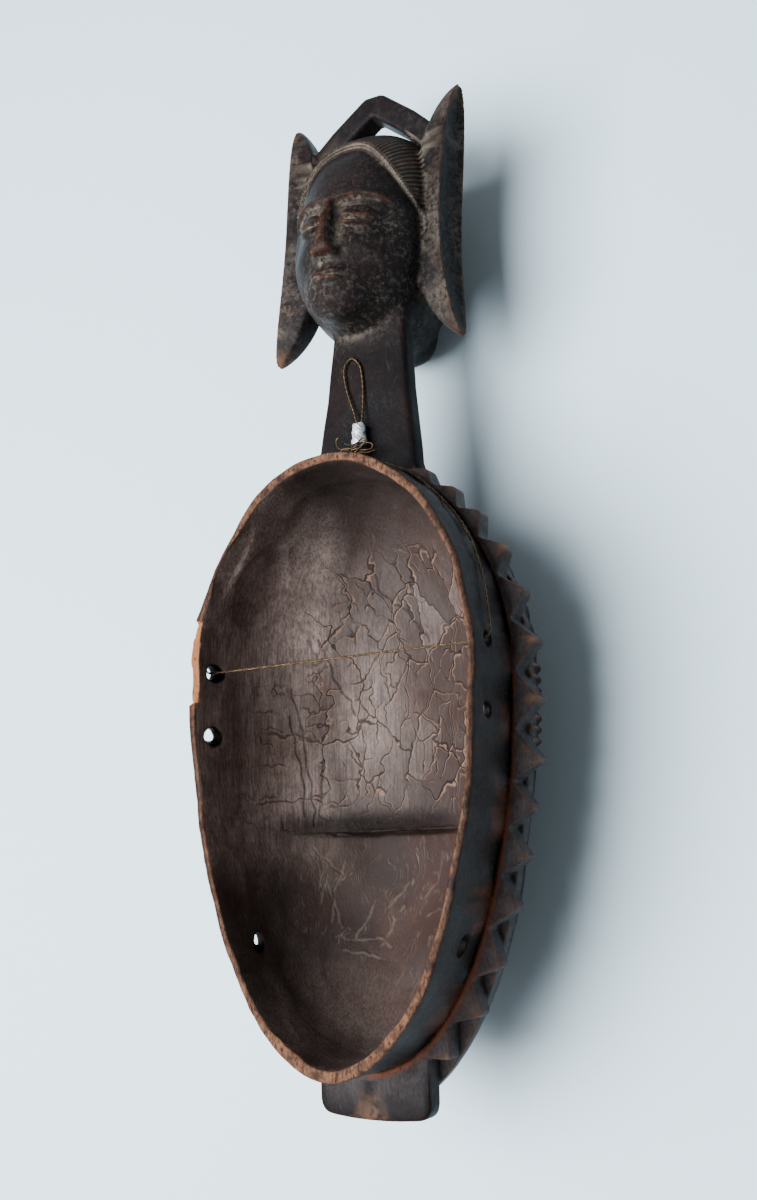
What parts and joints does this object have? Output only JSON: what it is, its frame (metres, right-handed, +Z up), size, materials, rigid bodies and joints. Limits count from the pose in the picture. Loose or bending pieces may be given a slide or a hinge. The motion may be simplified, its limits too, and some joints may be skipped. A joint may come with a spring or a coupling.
{
  "type": "carved wooden face mask",
  "caption": "Carved wooden mask with a hollow back, zigzag collar, long neck and a small two-faced winged head, with a hanging wire.",
  "frame": {"origin": "middle of the underside on which the mask lies, below the middle of its length and width", "axes": "+Z up out of the hollow back, +Y along the mask from the chin plate to the crown, +X across it"},
  "size_m": [0.168, 0.4877, 0.1055],
  "materials": {
    "carved_wood": "dark handled patina with worn edges, rough brown adze-cut hollow",
    "silver_tape": "wrinkled satin metal tape",
    "wire": "dull aged brass wire"
  },
  "bodies": {
    "root": {"mask": "carved_wood", "tape_sleeve": "silver_tape", "wire_knot": "wire", "hanging_wire": "wire", "hanging_loop": "wire"}
  },
  "joints": []
}
